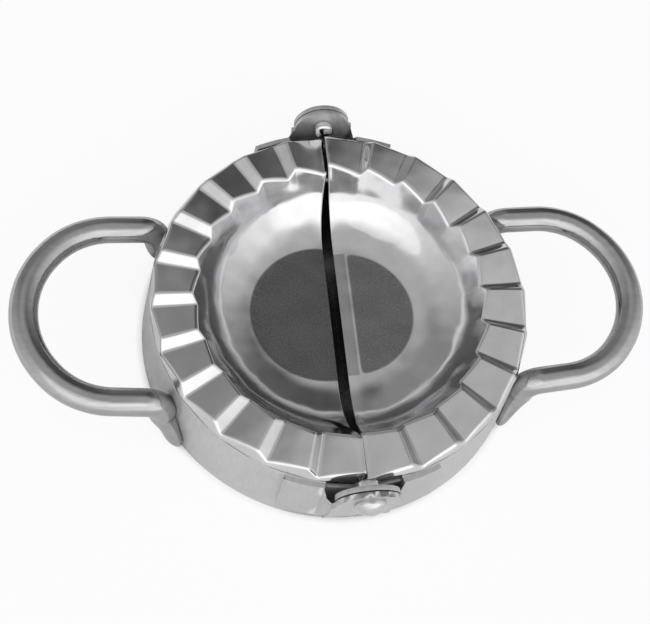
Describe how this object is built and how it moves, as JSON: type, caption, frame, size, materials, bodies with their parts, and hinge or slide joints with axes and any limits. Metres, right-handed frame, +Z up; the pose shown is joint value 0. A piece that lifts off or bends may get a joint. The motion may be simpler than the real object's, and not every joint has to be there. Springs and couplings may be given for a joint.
{
  "type": "dumpling press",
  "caption": "Folding dumpling press: two half bowls with pleated rims and round cutter skirts, joined by a riveted hinge, each with a wire loop handle.",
  "frame": {"origin": "on the table, under the middle of the fold line, with the press lying open on its cutting edges", "axes": "+Z up out of the bowls, Y along the fold line, the left half and its handle at -X, the right half at +X"},
  "size_m": [0.1632, 0.113, 0.0309],
  "materials": {
    "polished_bowl": "pressed stainless sheet, bright polish, matte bowl floor",
    "satin_skirt": "stainless strip, satin rolled",
    "handle_rod": "stainless rod, tumbled polish",
    "hinge_sheet": "stainless sheet, satin",
    "rivet_steel": "stainless, bright head"
  },
  "bodies": {
    "left_half": {"left_bowl": "polished_bowl", "left_skirt": "satin_skirt", "left_handle": "handle_rod", "left_front_hinge_plate": "hinge_sheet", "left_back_hinge_plate": "hinge_sheet", "front_rivet": "rivet_steel"},
    "right_half": {"right_bowl": "polished_bowl", "right_skirt": "satin_skirt", "right_handle": "handle_rod", "right_front_hinge_plate": "hinge_sheet", "right_back_hinge_plate": "hinge_sheet", "back_rivet": "rivet_steel"}
  },
  "joints": [
    {"name": "fold", "type": "hinge", "parent": "left_half", "child": "right_half", "pos_m": [0, 0, 0.0251], "axis": [0, -1, 0], "range_deg": [0, 180]}
  ]
}
